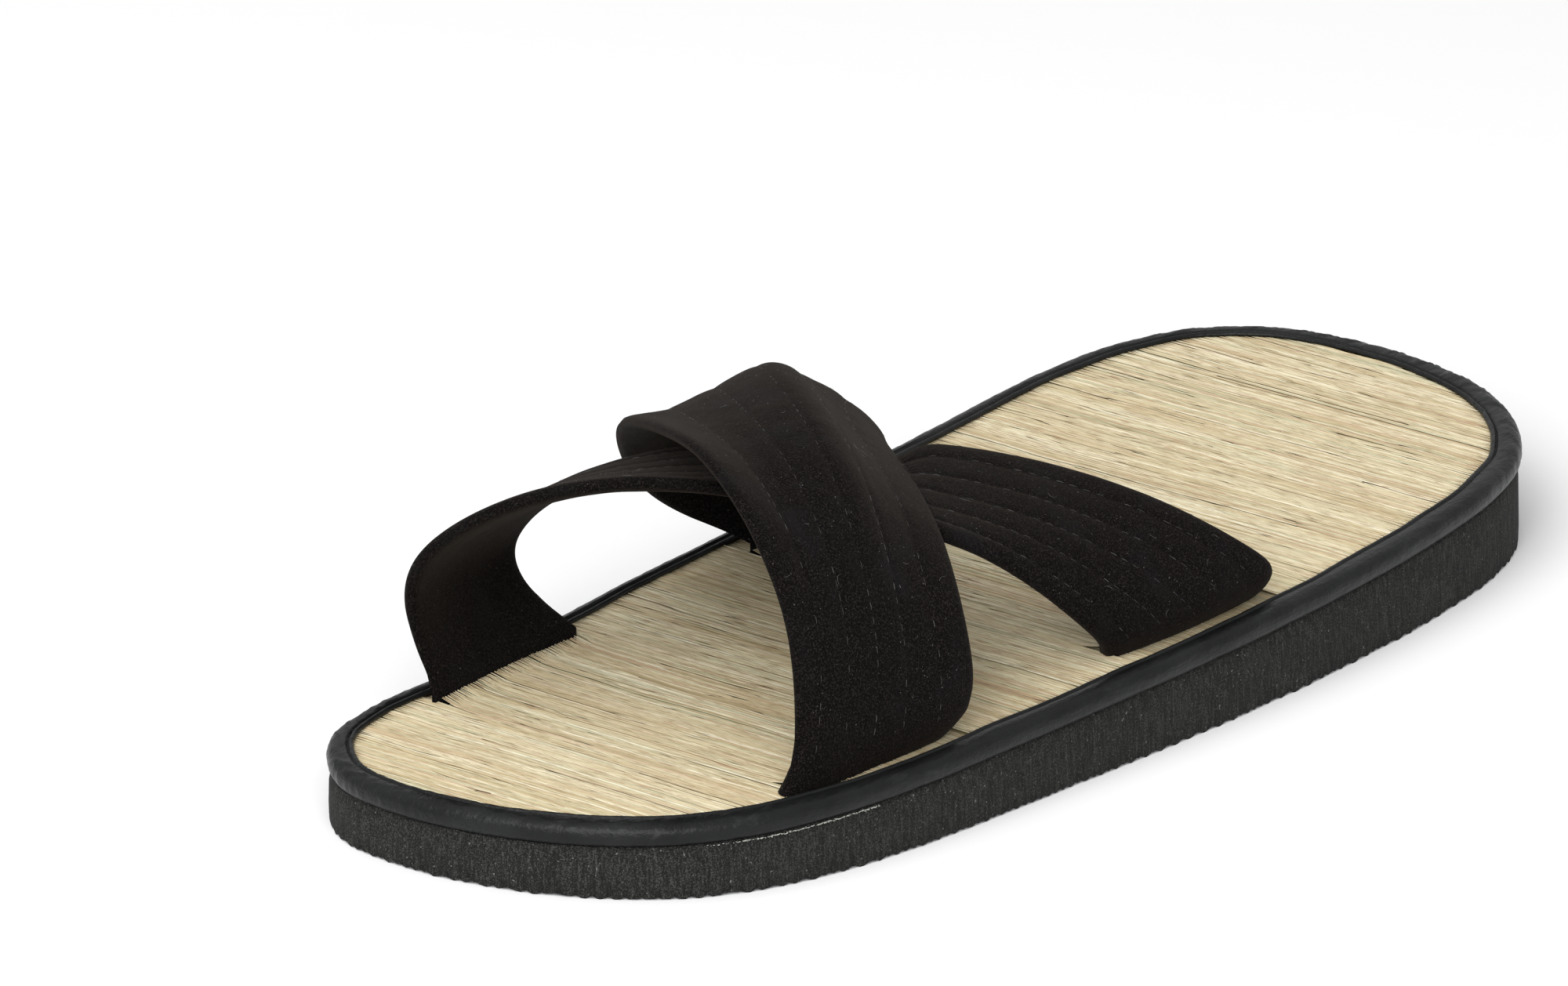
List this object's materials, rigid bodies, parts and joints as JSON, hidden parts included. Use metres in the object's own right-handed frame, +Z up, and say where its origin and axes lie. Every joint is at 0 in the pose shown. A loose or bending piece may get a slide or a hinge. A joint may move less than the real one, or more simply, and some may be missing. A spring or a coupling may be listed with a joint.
{
  "type": "zori sandal",
  "caption": "Left zori slide with a flat layered foam sole, a straw footbed with a bound rim, and padded straps that cross over the instep.",
  "frame": {"origin": "centre of the bounding box at the floor, under the middle of the sole", "axes": "+X to the wearer's right, +Y towards the toe, +Z up; the sole stands on z = 0"},
  "size_m": [0.1121, 0.2838, 0.0684],
  "materials": {
    "foam": "matt closed-cell foam, sawn sides",
    "straw": "dry straw fibres laid across the foot",
    "binding": "smooth, low sheen",
    "velvet": "short soft pile"
  },
  "bodies": {
    "root": {"sole": "foam", "insole": "straw", "binding": "binding", "upper": "velvet"}
  },
  "joints": []
}
